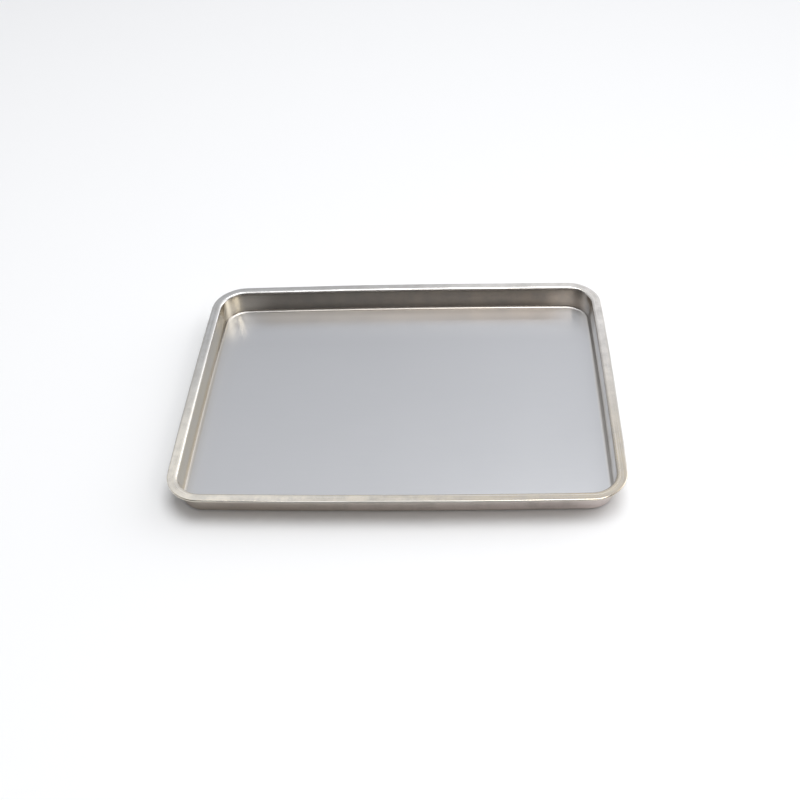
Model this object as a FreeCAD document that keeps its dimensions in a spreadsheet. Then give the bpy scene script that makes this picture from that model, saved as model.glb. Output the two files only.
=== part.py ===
import FreeCAD, Part
import math
import os

import Sketcher

# A shallow rectangular tray, pressed from one sheet of stainless steel.
# The origin is the centre of the flat underside, +X runs along the longer side and +Z is up.
# The sheet runs from the floor up a steep wall, over a rounded shoulder, out as a flat rim,
# and folds back under itself in a hem, so that no raw edge shows.

dimensions = {
    "tray_length": 320.0,      # over the rim, middle of one short side to the other
    "tray_width": 240.0,       # over the rim, middle of one long side to the other
    "tray_height": 20.0,       # underside of the floor to top of the rim
    "sheet_thickness": 0.7,
    "rim_width": 7.5,          # outer edge of the rim to the top of the inner wall
    "corner_radius": 25.7,     # outer edge of the rim, seen from above
    "side_radius": 6200.0,     # the sides bow outwards very slightly
    "wall_draft": 3.0,         # degrees from upright, leaning outwards
    "shoulder_radius": 2.0,    # top of the wall to the rim, upper face
    "floor_radius": 2.0,       # floor to wall, upper face
    "hem_gap": 0.2,            # clear space inside the folded edge
    "hem_return": 4.2,         # straight part of the sheet folded back under the rim
    "floor_strip": 4.0,        # flat floor swept with the wall, which the floor plate overlaps
}

START, END, CENTRE = 1, 2, 3   # the points of a sketch's arc or line, as constraints count them
ORIGIN = -1                    # the sketch's own origin and horizontal axis
VERTICAL_AXIS = -2


def make_sheet(doc):
    sheet = doc.addObject("Spreadsheet::Sheet", "Dimensions")
    for row, (alias, value) in enumerate(dimensions.items(), start=1):
        sheet.set(f"A{row}", alias)
        sheet.set(f"B{row}", str(value))
        sheet.setAlias(f"B{row}", alias)
    doc.recompute()
    return sheet


def new_sketch(body, name, plane_role):
    sketch = body.newObject("Sketcher::SketchObject", name)
    plane = next(f for f in body.Origin.OriginFeatures if f.Role == plane_role)
    sketch.AttachmentSupport = [(plane, "")]
    sketch.MapMode = "FlatFace"
    return sketch


def add_line(sketch, start, end):
    return sketch.addGeometry(Part.LineSegment(FreeCAD.Vector(*start, 0), FreeCAD.Vector(*end, 0)))


def add_arc(sketch, centre, radius, start, end):
    circle = Part.Circle(FreeCAD.Vector(*centre, 0), FreeCAD.Vector(0, 0, 1), radius)
    return sketch.addGeometry(Part.ArcOfCircle(circle, start, end))


def constrain(sketch, *args):
    return sketch.addConstraint(Sketcher.Constraint(*args))


def bind(sketch, name, expression, *args):
    """Adds a dimension to the sketch and ties it to the spreadsheet."""
    index = constrain(sketch, *args)
    sketch.renameConstraint(index, name)
    sketch.setExpression(f"Constraints.{name}", expression)


def draw_outline(sketch, inset, inset_expression):
    """The closed outline of the tray at a distance inside the rim's outer edge.

    It starts at the middle of the right side, which is split there, and runs anticlockwise
    through four gently bowed sides and four corners that all meet tangentially.
    """
    half_length = dimensions["tray_length"] / 2 - inset
    half_width = dimensions["tray_width"] / 2 - inset
    bow = dimensions["side_radius"] - inset
    corner = dimensions["corner_radius"] - inset
    side_x, side_y = half_length - bow, half_width - bow       # centres of the bowed sides
    spread = math.hypot(side_x, side_y) / 2
    reach = math.sqrt((bow - corner) ** 2 - spread ** 2) / (2 * spread)
    corner_x = side_x / 2 - side_y * reach
    corner_y = side_y / 2 - side_x * reach
    lean = math.atan2(corner_y, corner_x - side_x)             # where a short side ends
    tilt = math.atan2(corner_y - side_y, corner_x)             # where a long side begins
    half, full = math.pi, 2 * math.pi

    right_up = add_arc(sketch, (side_x, 0), bow, 0, lean)
    corner_1 = add_arc(sketch, (corner_x, corner_y), corner, lean, tilt)
    back = add_arc(sketch, (0, side_y), bow, tilt, half - tilt)
    corner_2 = add_arc(sketch, (-corner_x, corner_y), corner, half - tilt, half - lean)
    left = add_arc(sketch, (-side_x, 0), bow, half - lean, half + lean)
    corner_3 = add_arc(sketch, (-corner_x, -corner_y), corner, half + lean, half + tilt)
    front = add_arc(sketch, (0, -side_y), bow, half + tilt, full - tilt)
    corner_4 = add_arc(sketch, (corner_x, -corner_y), corner, full - tilt, full - lean)
    right_down = add_arc(sketch, (side_x, 0), bow, full - lean, full)

    ring = [right_up, corner_1, back, corner_2, left, corner_3, front, corner_4, right_down]
    for this, following in zip(ring, ring[1:]):
        constrain(sketch, "Tangent", this, END, following, START)
    constrain(sketch, "Coincident", right_down, END, right_up, START)
    constrain(sketch, "Coincident", right_up, CENTRE, right_down, CENTRE)
    for side in (back, left, front):
        constrain(sketch, "Equal", right_up, side)
    for other in (corner_2, corner_3, corner_4):
        constrain(sketch, "Equal", corner_1, other)
    constrain(sketch, "PointOnObject", right_up, START, ORIGIN)
    constrain(sketch, "PointOnObject", right_up, CENTRE, ORIGIN)
    constrain(sketch, "PointOnObject", back, CENTRE, VERTICAL_AXIS)
    constrain(sketch, "Symmetric", right_up, CENTRE, left, CENTRE, ORIGIN, START)
    constrain(sketch, "Symmetric", back, CENTRE, front, CENTRE, ORIGIN, START)

    bind(sketch, "half_length", f"Dimensions.tray_length / 2 - {inset_expression}",
         "DistanceX", ORIGIN, START, right_up, START, half_length)
    bind(sketch, "side_centre", "Dimensions.side_radius - Dimensions.tray_width / 2",
         "DistanceY", back, CENTRE, ORIGIN, START, -side_y)
    bind(sketch, "side_radius", f"Dimensions.side_radius - {inset_expression}",
         "Radius", right_up, bow)
    bind(sketch, "corner_radius", f"Dimensions.corner_radius - {inset_expression}",
         "Radius", corner_1, corner)
    return sketch


def draw_section(sketch):
    """The cross-section of the bent sheet at the middle of a short side, from floor to hem."""
    thick = dimensions["sheet_thickness"]
    top = dimensions["tray_height"]
    edge = dimensions["tray_length"] / 2
    draft = math.radians(dimensions["wall_draft"])
    shoulder, fillet = dimensions["shoulder_radius"], dimensions["floor_radius"]
    hem_inner = dimensions["hem_gap"] / 2
    hem = hem_inner + thick
    quarter = math.pi / 2

    # centres of the three bends: floor to wall, wall to rim, and the hem
    shoulder_c = (edge - dimensions["rim_width"] + shoulder, top - shoulder)
    drop = shoulder_c[1] - fillet - thick
    run = (drop * math.sin(draft) + shoulder + fillet) / math.cos(draft)
    floor_c = (shoulder_c[0] - run, fillet + thick)
    hem_c = (edge - hem, top - hem)

    def on_bend(centre, radius, angle):
        return centre[0] + radius * math.cos(angle), centre[1] + radius * math.sin(angle)

    def add_face(floor_r, shoulder_r, hem_r, floor_z):
        """One face of the sheet, from the floor to the free edge of the hem."""
        foot, wall_low = on_bend(floor_c, floor_r, -quarter), on_bend(floor_c, floor_r, -draft)
        wall_high = on_bend(shoulder_c, shoulder_r, 2 * quarter - draft)
        rim_in, rim_out = on_bend(shoulder_c, shoulder_r, quarter), on_bend(hem_c, hem_r, quarter)
        under = on_bend(hem_c, hem_r, -quarter)
        floor = add_line(sketch, (foot[0] - dimensions["floor_strip"], floor_z), foot)
        low = add_arc(sketch, floor_c, floor_r, -quarter, -draft)
        wall = add_line(sketch, wall_low, wall_high)
        high = add_arc(sketch, shoulder_c, shoulder_r, quarter, 2 * quarter - draft)
        rim = add_line(sketch, rim_in, rim_out)
        bend = add_arc(sketch, hem_c, hem_r, -quarter, quarter)
        tail = add_line(sketch, under, (under[0] - dimensions["hem_return"], under[1]))
        constrain(sketch, "Tangent", floor, END, low, START)
        constrain(sketch, "Tangent", low, END, wall, START)
        constrain(sketch, "Tangent", wall, END, high, END)
        constrain(sketch, "Tangent", high, START, rim, START)
        constrain(sketch, "Tangent", rim, END, bend, END)
        constrain(sketch, "Tangent", bend, START, tail, START)
        constrain(sketch, "Horizontal", floor)
        constrain(sketch, "Horizontal", tail)
        return floor, low, wall, high, rim, bend, tail

    inside = add_face(fillet, shoulder, hem, thick)
    outside = add_face(fillet + thick, shoulder - thick, hem_inner, 0)
    in_floor, in_low, in_wall, in_high, in_rim, in_bend, in_tail = inside
    out_floor, out_low, _, out_high, _, out_bend, out_tail = outside

    floor_x = floor_c[0] - dimensions["floor_strip"]
    floor_cut = add_line(sketch, (floor_x, 0), (floor_x, thick))
    tail_x = hem_c[0] - dimensions["hem_return"]
    hem_cut = add_line(sketch, (tail_x, top - 2 * hem), (tail_x, top - 2 * hem + thick))
    constrain(sketch, "Coincident", floor_cut, START, out_floor, START)
    constrain(sketch, "Coincident", floor_cut, END, in_floor, START)
    constrain(sketch, "Coincident", hem_cut, START, in_tail, END)
    constrain(sketch, "Coincident", hem_cut, END, out_tail, END)
    constrain(sketch, "Vertical", floor_cut)
    constrain(sketch, "Vertical", hem_cut)
    constrain(sketch, "Horizontal", in_rim)
    constrain(sketch, "Coincident", in_low, CENTRE, out_low, CENTRE)
    constrain(sketch, "Coincident", in_high, CENTRE, out_high, CENTRE)
    constrain(sketch, "Coincident", in_bend, CENTRE, out_bend, CENTRE)
    constrain(sketch, "PointOnObject", out_floor, START, ORIGIN)

    bind(sketch, "height", "Dimensions.tray_height",
         "DistanceY", ORIGIN, START, in_rim, START, top)
    bind(sketch, "reach", "Dimensions.tray_length / 2 - Dimensions.hem_gap / 2"
         " - Dimensions.sheet_thickness",
         "DistanceX", ORIGIN, START, in_bend, CENTRE, hem_c[0])
    bind(sketch, "rim", "Dimensions.rim_width - Dimensions.shoulder_radius"
         " - Dimensions.hem_gap / 2 - Dimensions.sheet_thickness",
         "DistanceX", in_high, CENTRE, in_bend, CENTRE, hem_c[0] - shoulder_c[0])
    bind(sketch, "wall_angle", "90 - Dimensions.wall_draft",
         "Angle", ORIGIN, START, in_wall, START, quarter - draft)
    bind(sketch, "floor_bend", "Dimensions.floor_radius", "Radius", in_low, fillet)
    bind(sketch, "floor_bend_outer", "Dimensions.floor_radius + Dimensions.sheet_thickness",
         "Radius", out_low, fillet + thick)
    bind(sketch, "shoulder_bend", "Dimensions.shoulder_radius", "Radius", in_high, shoulder)
    bind(sketch, "shoulder_bend_inner", "Dimensions.shoulder_radius - Dimensions.sheet_thickness",
         "Radius", out_high, shoulder - thick)
    bind(sketch, "hem_bend", "Dimensions.hem_gap / 2 + Dimensions.sheet_thickness",
         "Radius", in_bend, hem)
    bind(sketch, "hem_bend_inner", "Dimensions.hem_gap / 2", "Radius", out_bend, hem_inner)
    bind(sketch, "hem_tail", "Dimensions.hem_return",
         "DistanceX", in_tail, END, in_tail, START, dimensions["hem_return"])
    bind(sketch, "strip", "Dimensions.floor_strip",
         "DistanceX", in_floor, START, in_floor, END, dimensions["floor_strip"])
    return sketch


def make_tray(doc):
    """The whole tray: the bent sheet swept round the rim's outline, and the floor plate in it."""
    body = doc.addObject("PartDesign::Body", "Tray")
    body.Label = "pressed_tray"
    path = draw_outline(new_sketch(body, "RimOutline", "XY_Plane"), 0, "0")
    section = draw_section(new_sketch(body, "SheetSection", "XZ_Plane"))
    doc.recompute()
    sweep = body.newObject("PartDesign::AdditivePipe", "BentSheet")
    sweep.Profile = (section, [""])
    sweep.Spine = (path, [""])
    doc.recompute()

    # the floor plate's edge lies inside the swept strip of floor, so that the two join
    inset = dimensions["rim_width"] + dimensions["floor_radius"] + dimensions["floor_strip"]
    inset_expression = ("(Dimensions.rim_width + Dimensions.floor_radius"
                        " + Dimensions.floor_strip)")
    plate = draw_outline(new_sketch(body, "FloorOutline", "XY_Plane"), inset, inset_expression)
    floor = body.newObject("PartDesign::Pad", "Floor")
    floor.Profile = (plate, [""])
    floor.setExpression("Length", "Dimensions.sheet_thickness")
    body.Tip = floor
    doc.recompute()
    body.Placement = FreeCAD.Placement()
    return body


def check(doc, parts):
    for thing in doc.Objects:
        if "Invalid" in thing.State or "Error" in thing.State:
            raise RuntimeError(f"{thing.Name} failed to build: {thing.State}")
        if thing.TypeId == "Sketcher::SketchObject" and not thing.FullyConstrained:
            raise RuntimeError(f"{thing.Name} is not fully constrained")
    for part in parts:
        if part.Shape.isNull() or not part.Shape.isValid() or len(part.Shape.Solids) != 1:
            raise RuntimeError(f"{part.Label} is not one valid solid")


def export(parts):
    os.makedirs("parts", exist_ok=True)
    for part in parts:
        part.Shape.exportStep(f"parts/{part.Label}.step")
        box = part.Shape.optimalBoundingBox(False)
        print(f"{part.Label}: {box.XLength:.2f} x {box.YLength:.2f} x {box.ZLength:.2f} mm, "
              f"{part.Shape.Volume / 1000:.2f} cm3")


doc = FreeCAD.newDocument("tray")
make_sheet(doc)
parts = [make_tray(doc)]
check(doc, parts)
export(parts)
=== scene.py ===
import math

import bmesh
import bpy
from mathutils import Matrix, Vector, noise


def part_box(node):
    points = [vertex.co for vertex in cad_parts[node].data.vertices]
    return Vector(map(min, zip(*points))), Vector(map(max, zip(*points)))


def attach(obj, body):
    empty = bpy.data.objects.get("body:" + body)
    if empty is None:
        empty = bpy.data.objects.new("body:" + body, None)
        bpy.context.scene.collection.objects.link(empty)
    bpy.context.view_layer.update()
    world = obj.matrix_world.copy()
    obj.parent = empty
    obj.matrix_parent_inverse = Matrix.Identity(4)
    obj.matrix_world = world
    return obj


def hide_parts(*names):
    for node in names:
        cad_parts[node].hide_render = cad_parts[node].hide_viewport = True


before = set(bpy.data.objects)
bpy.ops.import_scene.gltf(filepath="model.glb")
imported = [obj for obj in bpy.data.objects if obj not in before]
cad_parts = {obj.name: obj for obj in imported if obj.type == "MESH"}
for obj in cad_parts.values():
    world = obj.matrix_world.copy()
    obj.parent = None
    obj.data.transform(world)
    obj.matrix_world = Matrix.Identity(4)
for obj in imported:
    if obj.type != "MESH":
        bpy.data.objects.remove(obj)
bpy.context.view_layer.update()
millimetre = 0.001


# a socket that takes Python's operators
class Wire:
    def __init__(self, shader, socket):
        self.shader, self.socket = shader, socket

    def maths(self, operation, *values):
        return self.shader.node("ShaderNodeMath", {"operation": operation}, dict(enumerate(values)))

    def __add__(self, other):
        return self.maths("ADD", self, other)

    def __sub__(self, other):
        return self.maths("SUBTRACT", self, other)

    def __rsub__(self, other):
        return self.maths("SUBTRACT", other, self)

    def __mul__(self, other):
        return self.maths("MULTIPLY", self, other)

    def __abs__(self):
        return self.maths("ABSOLUTE", self)

    def over(self, least):
        return self.maths("MAXIMUM", self, least)

    def root(self):
        return self.maths("SQRT", self)

    __radd__ = __add__
    __rmul__ = __mul__


class Shader:
    def __init__(self, tree):
        self.tree = tree
        self.tree.nodes.clear()

    # any node: its type, its settings, then what goes into its sockets
    def node(self, kind, settings=None, inputs=None, output=0):
        made = self.tree.nodes.new(kind)
        for name, value in (settings or {}).items():
            setattr(made, name, value)
        for name, value in (inputs or {}).items():
            if isinstance(value, Wire):
                self.tree.links.new(value.socket, made.inputs[name])
            else:
                made.inputs[name].default_value = value
        return Wire(self, made.outputs[output]) if made.outputs else made

    # rises from 0 to 1, with soft ends, between two values
    def smooth(self, value, start, end):
        return self.node("ShaderNodeMapRange", {"interpolation_type": "SMOOTHSTEP"},
                         {"Value": value, "From Min": start, "From Max": end})

    def cloud(self, vector, scale, detail, rough):
        return self.node("ShaderNodeTexNoise", {"noise_dimensions": "3D"},
                         {"Vector": vector, "Scale": scale, "Detail": detail, "Roughness": rough})

    def point(self, x, y, z):
        return self.node("ShaderNodeCombineXYZ", None, {"X": x, "Y": y, "Z": z})

    # a Mix node has sockets for each kind of value, so its colour sockets go by number
    def blend(self, amount, first, second):
        first, second = (c if isinstance(c, Wire) else (*c, 1) for c in (first, second))
        return self.node("ShaderNodeMix", {"data_type": "RGBA"},
                         {"Factor": amount, 6: first, 7: second}, output=2)

    # the X, Y and Z of a vector
    def axes(self, vector):
        outputs = self.node("ShaderNodeSeparateXYZ", None, {"Vector": vector}).socket.node.outputs
        return [Wire(self, axis) for axis in outputs]


low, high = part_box("pressed_tray")
middle = (low + high) / 2
half = (high - low) / 2
tray = {
    "sheet": 0.7 * millimetre,
    "hemGap": 0.2 * millimetre,       # clear space inside the folded edge
    "hemReturn": 4.2 * millimetre,    # flat part of the sheet folded back under the rim
    "rimWidth": 7.5 * millimetre,
    "cornerRadius": 25.7 * millimetre,
    "sideRadius": 6200 * millimetre,  # the sides bow outwards very slightly
    "draft": math.radians(3),
    "shoulderRadius": 2 * millimetre,
    "floorRadius": 2 * millimetre,
    "cornerSteps": 28,
    "sideSteps": 47,
    "bendSteps": 8,
    "rimStrips": 4,
    "wallRows": 8,
    "floorRings": 6,                  # rings of faces on the floor, round its even grid
    "floorRing": 2 * millimetre,
    "smoothUpTo": math.radians(40),
}


def selectNothing():
    bpy.ops.object.select_all(action="DESELECT")


# selects the faces or edges of the piece in edit mode that pass a test
def pick(piece, kind, test):
    bpy.ops.mesh.select_mode(type="FACE" if kind == "faces" else "EDGE")
    bpy.ops.mesh.select_all(action="DESELECT")
    shape = bmesh.from_edit_mesh(piece.data)
    for element in getattr(shape, kind):
        if test(element):
            element.select_set(True)
    shape.select_flush_mode()
    bmesh.update_edit_mesh(piece.data)


def edgeSpan(edge):
    a, b = (v.co for v in edge.verts)
    return abs(b.x - a.x), abs(b.y - a.y), abs(b.z - a.z)


def insetBy(across, down=0):
    bpy.ops.mesh.inset(thickness=across, depth=-down, use_even_offset=True)


# a bend in the sheet, as a run of small insets, between two angles from flat
def insetBend(radius, start, end, steps):
    turns = [start + (end - start) * step / steps for step in range(steps + 1)]
    sign = 1 if end > start else -1
    for before, after in zip(turns, turns[1:]):
        insetBy(sign * radius * (math.sin(after) - math.sin(before)),
                sign * radius * (math.cos(before) - math.cos(after)))


def blankWithRoundCorners():
    hem = 2 * tray["sheet"] + tray["hemGap"]
    selectNothing()
    bpy.ops.mesh.primitive_cube_add(size=1, location=(middle.x, middle.y, high.z - hem / 2),
                                    scale=(2 * half.x, 2 * half.y, hem))
    bpy.ops.object.transform_apply(location=True, rotation=True, scale=True)
    blank = bpy.context.object
    blank.name = blank.data.name = "tray_shell"
    bpy.ops.object.mode_set(mode="EDIT")
    pick(blank, "edges", lambda e: edgeSpan(e)[2] > hem / 2)
    bpy.ops.mesh.bevel(offset=tray["cornerRadius"], segments=tray["cornerSteps"], affect="EDGES")
    pick(blank, "edges", lambda e: max(edgeSpan(e)) > 2 * tray["cornerRadius"])
    bpy.ops.mesh.subdivide(number_cuts=tray["sideSteps"])
    pick(blank, "edges", lambda e: edgeSpan(e)[2] < hem / 2)       # both flat outlines
    bpy.ops.mesh.bevel(offset=hem / 2, segments=tray["bendSteps"], affect="EDGES")
    bpy.ops.mesh.select_all(action="SELECT")
    bpy.ops.mesh.remove_doubles(threshold=hem / 200)
    return blank


def pressTray():
    piece = blankWithRoundCorners()
    hemRadius = tray["sheet"] + tray["hemGap"] / 2
    steep = math.pi / 2 - tray["draft"]
    bends = tray["shoulderRadius"] + tray["floorRadius"]
    wallDrop = high.z - low.z - tray["sheet"] - bends * (1 - math.cos(steep))

    # the sheet folded back under the rim, open in the middle
    pick(piece, "faces", lambda f: f.normal.z < -0.9 and len(f.verts) > 4)
    insetBy(tray["hemReturn"])
    bpy.ops.mesh.delete(type="ONLY_FACE")

    # rim, shoulder, wall and floor bend
    pick(piece, "faces", lambda f: f.normal.z > 0.9 and len(f.verts) > 4)
    rimFlat = tray["rimWidth"] - tray["shoulderRadius"] - hemRadius
    for strip in range(tray["rimStrips"]):
        insetBy(rimFlat / tray["rimStrips"])
    insetBend(tray["shoulderRadius"], 0, steep, tray["bendSteps"])
    rowDrop = wallDrop / tray["wallRows"]
    for row in range(tray["wallRows"]):
        insetBy(rowDrop * math.tan(tray["draft"]), rowDrop)
    insetBend(tray["floorRadius"], steep, 0, tray["bendSteps"])
    for ring in range(tray["floorRings"]):
        insetBy(tray["floorRing"])
    bpy.ops.mesh.delete(type="ONLY_FACE")
    fillFloor(piece)
    bpy.ops.object.mode_set(mode="OBJECT")
    return piece


# fills the floor with an even grid, whose corners lie half way round the tray's corners
def fillFloor(piece):
    floorTop = low.z + tray["sheet"]
    closeEnough = millimetre / 10
    pick(piece, "edges",
         lambda e: e.is_boundary and abs(e.verts[0].co.z - floorTop) < closeEnough)
    shape = bmesh.from_edit_mesh(piece.data)
    loop = [v for v in shape.verts if v.select]
    shape.select_history.clear()
    shape.select_history.add(max(loop, key=lambda v: v.co.x + v.co.y))
    bmesh.update_edit_mesh(piece.data)
    bpy.ops.mesh.fill_grid(span=tray["cornerSteps"] + tray["sideSteps"] + 1)


# a pressing is never quite true: the sides bow, and the rim, walls and floor ripple a little
unevenness = {
    # each ripple: how high, how long, and where in the noise it starts
    "rim": (0.16 * millimetre, 55 * millimetre, 7.7),
    "wall": (0.10 * millimetre, 38 * millimetre, 3.1),
    "corner": (0.22 * millimetre, 13 * millimetre, 5.2),    # puckered where it was squeezed
    "floor": (0.15 * millimetre, 90 * millimetre, 1.9),
    "rimSink": 0.6,                    # how much lower the rim lies, as a share of its ripple
    "floorSwell": 0.5,                 # how much higher the floor lies, as a share of its ripple
    "rimDroop": 0.05 * millimetre,     # the rim falls away towards its outer edge
    "edgeRise": 0.30 * millimetre,     # the floor curls up gently towards its edge
    "edgeWidth": 14 * millimetre,
    # where each takes hold, from nothing to fully
    "rimBelowTop": (5 * millimetre, 2 * millimetre),
    "wallFromFloor": (1.5 * millimetre, 6 * millimetre),
    "riseFadesOut": (2 * millimetre, 14 * millimetre),
    "cornerTurn": (0, tray["cornerRadius"] / 4),
    "floorStart": tray["rimWidth"] + tray["floorRadius"] + 1 * millimetre,
}


def ripple(place, name, lift=0):
    size, length, start = unevenness[name]
    return size * (noise.noise(place / length + Vector((start, start * 2, start * 3))) + lift)


def ease(value, start, end):
    part = min(max((value - start) / (end - start), 0), 1)
    return part * part * (3 - 2 * part)


# how far a place is in from the rim's outer edge, and how deep in a corner's turn from 0 to 1
def insetOf(x, y):
    pastX = abs(x) - (half.x - tray["cornerRadius"])
    pastY = abs(y) - (half.y - tray["cornerRadius"])
    outside = math.hypot(max(pastX, 0), max(pastY, 0))
    inset = tray["cornerRadius"] - min(max(pastX, pastY), 0) - outside
    return inset, ease(min(pastX, pastY), *unevenness["cornerTurn"])


def makeUneven(piece):
    for vertex in piece.data.vertices:
        place = vertex.co.copy()
        x, y = place.x - middle.x, place.y - middle.y
        depth, inCorner = insetOf(x, y)
        rimStart, rimFull = unevenness["rimBelowTop"]
        onRim = ease(place.z, high.z - rimStart, high.z - rimFull)
        onWall = ease(place.z, *unevenness["wallFromFloor"])
        onFloor = (depth - unevenness["floorStart"]) / unevenness["edgeWidth"]
        onFloor = min(max(onFloor, 0), 1)
        outward = 1 - ease(depth, 0, tray["rimWidth"] - tray["shoulderRadius"])
        dent = (ripple(place, "wall") + ripple(place, "corner") * inCorner) * onWall
        bowX = y * y / (2 * tray["sideRadius"])
        bowY = x * x / (2 * tray["sideRadius"])
        rise = unevenness["edgeRise"] * (1 - onFloor) ** 2
        rise *= 1 - ease(place.z, *unevenness["riseFadesOut"])
        droop = unevenness["rimDroop"] * outward
        rise += (ripple(place, "rim", -unevenness["rimSink"]) - droop) * onRim
        rise += ripple(place, "floor", unevenness["floorSwell"]) * onFloor ** 2
        place.x -= (bowX + dent) * x / half.x
        place.y -= (bowY + dent) * y / half.y
        place.z += rise
        vertex.co = place


def giveThickness(piece):
    thickness = piece.modifiers.new("sheet", "SOLIDIFY")
    thickness.thickness = tray["sheet"]
    thickness.offset = -1
    thickness.use_even_offset = True
    thickness.use_quality_normals = True
    bpy.ops.object.modifier_apply(modifier=thickness.name)
    bpy.ops.object.shade_smooth_by_angle(angle=tray["smoothUpTo"])


steel = {
    "floorColour": (0.628, 0.632, 0.648),
    # painted light: the floor is lighter near the back wall, where its reflection of that wall
    # comes out too dark
    "floorBackPaintedLight": (0.790, 0.800, 0.825),
    # painted light and reflection: each pair is the colour at the tray's left and right ends, set
    # so walls and rim come out lighter or darker where light and reflected room differ
    "wallPaintedLight": ((0.530, 0.475, 0.370), (0.950, 0.925, 0.890)),
    # painted reflection: the back wall and the front wall have their own left and right colours,
    # matched to what they reflect
    "backWallPaintedReflection": ((0.615, 0.570, 0.505), (0.830, 0.710, 0.590)),
    "frontWallPaintedReflection": ((0.630, 0.570, 0.510), (0.840, 0.760, 0.735)),
    # painted reflection: the rim is lighter and creamier at front left and back right, darker at
    # front right and back left
    "rimBackPaintedReflection": ((0.680, 0.675, 0.665), (0.930, 0.890, 0.840)),
    "rimFrontPaintedReflection": ((1.000, 0.930, 0.800), (0.665, 0.585, 0.465)),
    "cornerPaintedReflection": (0.990, 0.880, 0.680),      # painted reflection: a bright cream patch in the back left corner, where the wall reflects a window
    "bendPaintedShade": (0.400, 0.372, 0.340),        # painted shade: the bend between wall and floor is darkened to dim its highlight
    # painted shade: the hem's rounded outer edge is darkened to dim its highlight
    "edgePaintedShade": (0.410, 0.390, 0.360),
    "smearColour": (0.500, 0.475, 0.440),
    "streakColour": (0.880, 0.865, 0.840),      # the grain's bright streaks
    "smears": 1.7,                              # how much of each shows
    "streaks": 0.15,
    "rimStreaks": 1.25,
    "patchStart": 0.4,                          # noise below this leaves no smear or streak
    "floorRoughness": 0.30,
    "floorCornerRoughness": 0.46,
    "bendRoughness": 0.36,
    "wallRoughness": 0.13,
    "rimRoughness": 0.16,
    "shoulderRoughness": 0.27,
    "edgeRoughness": 0.50,
    "grainUneven": 0.06,                        # how far each pattern changes the roughness
    "cloudUneven": 0.05,
    "smearUneven": 0.03,
    "grainLength": 45 * millimetre,
    "grainWidth": 0.35 * millimetre,
    "grainDepth": 0.01 * millimetre,
    "grainBump": 0.1,
    "cloudSize": 70 * millimetre,
    "smearSize": 12 * millimetre,
}

# where one surface or band of painted light gives way to the next, as distances from the edge or
# face that each names
zones = {
    "floorFromEdge": (9 * millimetre, 12 * millimetre),
    "floorFromBottom": (1 * millimetre, 3 * millimetre),
    "rimFromTop": (2.2 * millimetre, 0.8 * millimetre),
    "rimFromBack": 40 * millimetre,
    "hemFromEdge": (0.4 * millimetre, 1.6 * millimetre),
    "shoulderFromTop": (2.4 * millimetre, 1.6 * millimetre),
    "shoulderFromEdge": (4.8 * millimetre, 5.6 * millimetre),
    "wallFromBack": (24 * millimetre, 12 * millimetre),
    "wallFromFront": (12 * millimetre, 24 * millimetre),
    "turn": (0, 9 * millimetre),
    "paintedLightFromBack": (55 * millimetre, 10 * millimetre),
    "paintedLightFromEdge": (12 * millimetre, 19 * millimetre),
    "roughFloorFromSide": (50 * millimetre, 22 * millimetre),
    "roughFloorFromBack": (55 * millimetre, 22 * millimetre),
}


def shortOf(edge, distances):
    return [edge - distance for distance in distances]


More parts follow.
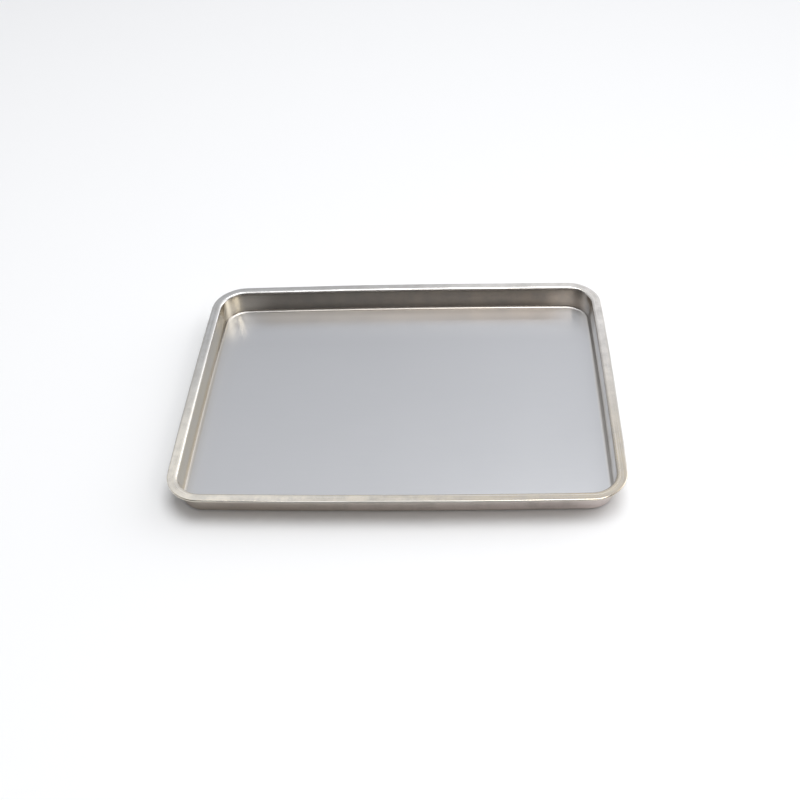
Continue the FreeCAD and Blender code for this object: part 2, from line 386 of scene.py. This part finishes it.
def steelMaterial():
    material = bpy.data.materials.new("stainless_steel")
    material.use_nodes = True
    shader = Shader(material.node_tree)
    place = shader.node("ShaderNodeTexCoord", output="Object")
    x, y, z = shader.axes(place)

    # distance in from the rim's outer edge, the same round the corners as along the sides
    radius = tray["cornerRadius"]
    pastX = (abs(x - middle.x) - (half.x - radius)).over(0)
    pastY = (abs(y - middle.y) - (half.y - radius)).over(0)
    across = radius - (pastX * pastX + pastY * pastY).root()

    # which part of the tray a place is on
    deep = shader.smooth(across, *zones["floorFromEdge"])
    lowDown = 1 - shader.smooth(z, *zones["floorFromBottom"])
    onFloor = deep * lowDown
    onBend = lowDown * (1 - deep)
    onRim = shader.smooth(z, *shortOf(high.z, zones["rimFromTop"]))
    onEdge = 1 - shader.smooth(across, *zones["hemFromEdge"])
    onShoulder = (shader.smooth(z, *shortOf(high.z, zones["shoulderFromTop"]))
                  * shader.smooth(across, *zones["shoulderFromEdge"]))
    inTurn = shader.smooth(pastX, *zones["turn"]) * shader.smooth(pastY, *zones["turn"])
    towardsRight = shader.smooth(x, low.x, high.x)
    towardsBack = shader.smooth(y, low.y, high.y - zones["rimFromBack"])
    atBack = shader.smooth(y, *shortOf(high.y, zones["wallFromBack"]))
    atFront = 1 - shader.smooth(y - low.y, *zones["wallFromFront"])
    # painted light: where the floor is lighter, near the back wall
    paintedLightFloorMask = (shader.smooth(y, *shortOf(high.y, zones["paintedLightFromBack"]))
                  * shader.smooth(across, *zones["paintedLightFromEdge"]))
    roughFloor = (shader.smooth(abs(x - middle.x), *shortOf(half.x, zones["roughFloorFromSide"]))
                  * shader.smooth(y, *shortOf(high.y, zones["roughFloorFromBack"])))

    # polishing grain: lengthwise on the floor, round the tray on the walls and rim
    along, fine = 1 / steel["grainLength"], 1 / steel["grainWidth"]
    floorGrain = shader.cloud(shader.point(x * along, y * fine, 0.0), 1.0, detail=3.0, rough=0.6)
    roundTray = shader.point(x * along, y * along, (across - z) * fine)
    wallGrain = shader.cloud(roundTray, 1.0, detail=3.0, rough=0.6)
    grain = floorGrain * onFloor + wallGrain * (1 - onFloor)
    cloudy = shader.cloud(place, 1 / steel["cloudSize"], detail=3.0, rough=0.55)
    smears = shader.cloud(place, 1 / steel["smearSize"], detail=4.0, rough=0.6)

    # satin floor, brighter walls, polished rim, dull bend and edge
    plain = steel["wallRoughness"]
    cornerHaze = (steel["floorCornerRoughness"] - steel["floorRoughness"]) * roughFloor
    roughness = (plain + (cornerHaze + steel["floorRoughness"] - plain) * onFloor
                 + (steel["bendRoughness"] - plain) * onBend
                 + (steel["rimRoughness"] - plain) * onRim * (1 - onEdge)
                 + (steel["edgeRoughness"] - plain) * onEdge
                 + (steel["shoulderRoughness"] - steel["rimRoughness"]) * onShoulder
                 + (grain - 0.5) * steel["grainUneven"]
                 + (cloudy - 0.5) * steel["cloudUneven"]
                 + (smears - 0.5) * steel["smearUneven"])

    def leftToRight(name):
        return shader.blend(towardsRight, *steel[name])

    # painted reflection: the rim's colour changes from front to back and from left to right
    rim = shader.blend(towardsBack, leftToRight("rimFrontPaintedReflection"), leftToRight("rimBackPaintedReflection"))
    # painted light: the floor is lighter near the back wall
    floor = shader.blend(paintedLightFloorMask, steel["floorColour"], steel["floorBackPaintedLight"])
    # painted light and reflection: the walls' colour changes from left to right, with their own
    # colours at the back and front
    toneWithPaintedLight = shader.blend(atBack, leftToRight("wallPaintedLight"), leftToRight("backWallPaintedReflection"))
    toneWithPaintedLight = shader.blend(atFront, toneWithPaintedLight, leftToRight("frontWallPaintedReflection"))
    # painted reflection: a bright cream patch in the back left corner
    paintedReflectionMask = inTurn * towardsBack * (1 - towardsRight)
    toneWithPaintedLight = shader.blend(paintedReflectionMask, toneWithPaintedLight, steel["cornerPaintedReflection"])
    # painted shade on the bend between wall and floor
    toneWithPaintedLight = shader.blend(onBend, toneWithPaintedLight, steel["bendPaintedShade"])
    toneWithPaintedLight = shader.blend(onFloor, toneWithPaintedLight, floor)
    toneWithPaintedLight = shader.blend(onRim, toneWithPaintedLight, rim)
    # painted shade on the hem's outer edge
    toneWithPaintedLight = shader.blend(onEdge, toneWithPaintedLight, steel["edgePaintedShade"])
    smeared = (smears - steel["patchStart"]).over(0) * (1 - onFloor) * steel["smears"]
    streaked = ((grain - steel["patchStart"]).over(0)
                * (steel["streaks"] + onRim * steel["rimStreaks"]))
    # smears are the steel's own wear, laid over the painted light, reflection and shade
    wornWithPaintedLight = shader.blend(smeared, toneWithPaintedLight, steel["smearColour"])
    colour = shader.blend(streaked, wornWithPaintedLight, steel["streakColour"])

    bump = shader.node("ShaderNodeBump", None, {
        "Height": grain, "Strength": steel["grainBump"], "Distance": steel["grainDepth"]})
    surface = shader.node("ShaderNodeBsdfPrincipled", None, {
        "Base Color": colour, "Metallic": 1.0, "Roughness": roughness, "Normal": bump})
    shader.node("ShaderNodeOutputMaterial", None, {"Surface": surface})
    return material


piece = pressTray()
makeUneven(piece)
giveThickness(piece)
piece.data.materials.clear()
piece.data.materials.append(steelMaterial())
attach(piece, "root")
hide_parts("pressed_tray")
print("tray pressed", len(piece.data.polygons), "faces")


paper = {
    "size": 24,
    "colour": (0.93, 0.93, 0.935),
    "roughness": 0.9,
    "shine": 0.2,
    "fibres": 300.0,                   # to the metre
    "fibreDepth": 0.05 * millimetre,
    "fibreBump": 0.1,
}


def layPaper():
    selectNothing()
    bpy.ops.mesh.primitive_plane_add(size=paper["size"], location=(0, 0, low.z))
    sheet = bpy.context.object
    sheet.name = "paper"
    material = bpy.data.materials.new("paper")
    material.use_nodes = True
    shader = Shader(material.node_tree)
    place = shader.node("ShaderNodeTexCoord", output="Object")
    fibre = shader.cloud(place, paper["fibres"], detail=3.0, rough=0.6)
    bump = shader.node("ShaderNodeBump", None, {
        "Height": fibre, "Strength": paper["fibreBump"], "Distance": paper["fibreDepth"]})
    surface = shader.node("ShaderNodeBsdfPrincipled", None, {
        "Base Color": (*paper["colour"], 1), "Roughness": paper["roughness"], "Normal": bump,
        "Specular IOR Level": paper["shine"]})
    shader.node("ShaderNodeOutputMaterial", None, {"Surface": surface})
    sheet.data.materials.append(material)


# soft panels that face the tray
panels = {
    "overhead": {"place": (0.26, 0.12, 2.30), "width": 1.70, "height": 1.50,
                 "brightness": 4.10, "colour": (0.985, 1.0, 1.01)},
    "above": {"place": (-0.10, -1.42, 1.81), "width": 1.30, "height": 0.65,
              "brightness": 1.15, "colour": (1.0, 0.99, 0.99)},
    "window": {"place": (0.54, -0.55, 0.75), "width": 0.36, "height": 0.20,
               "brightness": 4.50, "colour": (1.0, 0.96, 0.90)},
}


def hangPanel(name, width, height, place, brightness, colour):
    bpy.ops.object.light_add(type="AREA", location=place)
    panel = bpy.context.object
    panel.name = name
    panel.rotation_euler = (-Vector(place)).to_track_quat("-Z", "Y").to_euler()
    panel.data.shape = "RECTANGLE"
    panel.data.size, panel.data.size_y = width, height
    panel.data.energy = brightness * math.pi * width * height
    panel.data.color = colour


# the room's glow, by the side it comes from
room = {
    "back": (0.80, 0.812, 0.84),
    "backHigh": (0.50, 0.50, 0.505),
    "backLowLeft": (0.56, 0.57, 0.59),
    "right": (2.60, 2.61, 2.66),
    "front": (0.036, 0.0335, 0.0325),
    "frontRight": (0.15, 0.13, 0.12),
    # where one glow gives way to the next: straight up, right or front is 1
    "lowToHigher": (0.60, 0.70),       # upwards
    "lowerToHigh": (0.76, 0.88),
    "leftToRest": (-0.08, 0.05),       # to the right
    "backToRight": (0.30, 1.00),
    "frontToRight": (0.25, 0.90),
    "backToFront": (-0.30, 0.35),      # to the front
}


def lightRoom():
    world = bpy.data.worlds.new("room")
    world.use_nodes = True
    bpy.context.scene.world = world
    shader = Shader(world.node_tree)
    toRight, toBack, up = shader.axes(shader.node("ShaderNodeTexCoord", output="Generated"))
    lowLeft = ((1 - shader.smooth(up, *room["lowToHigher"]))
               * (1 - shader.smooth(toRight, *room["leftToRest"])))
    back = shader.blend(lowLeft, room["back"], room["backLowLeft"])
    back = shader.blend(shader.smooth(up, *room["lowerToHigh"]), back, room["backHigh"])
    back = shader.blend(shader.smooth(toRight, *room["backToRight"]), back, room["right"])
    front = shader.blend(shader.smooth(toRight, *room["frontToRight"]),
                         room["front"], room["frontRight"])
    glow = shader.blend(shader.smooth(0 - toBack, *room["backToFront"]), back, front)
    background = shader.node("ShaderNodeBackground", None, {"Color": glow, "Strength": 1.0})
    shader.node("ShaderNodeOutputWorld", None, {"Surface": background})


camera = {
    "place": (0.0512, -0.5810, 0.5524),
    "turn": -0.089,        # about the upright, from looking along +Y, in radians
    "dip": 0.758,          # below level
    "roll": -0.071,
    "lens": 47.15,
    "sensor": 36,
    "seesTo": 50,
}


def setCamera():
    turn, dip, roll = camera["turn"], camera["dip"], camera["roll"]
    ahead = Vector((math.sin(turn) * math.cos(dip), math.cos(turn) * math.cos(dip), -math.sin(dip)))
    right = Vector((math.cos(turn), -math.sin(turn), 0))
    up = right.cross(ahead)
    rolledRight = right * math.cos(roll) + up * math.sin(roll)
    rolledUp = up * math.cos(roll) - right * math.sin(roll)
    bpy.ops.object.camera_add(location=camera["place"])
    viewer = bpy.context.object
    viewer.rotation_euler = Matrix((rolledRight, rolledUp, -ahead)).transposed().to_euler()
    viewer.data.lens = camera["lens"]
    viewer.data.sensor_width = camera["sensor"]
    viewer.data.clip_end = camera["seesTo"]
    bpy.context.scene.camera = viewer


layPaper()
for name, panel in panels.items():
    hangPanel(name, **panel)
lightRoom()
setCamera()
bpy.context.scene.view_settings.view_transform = "Standard"
print("studio ready")
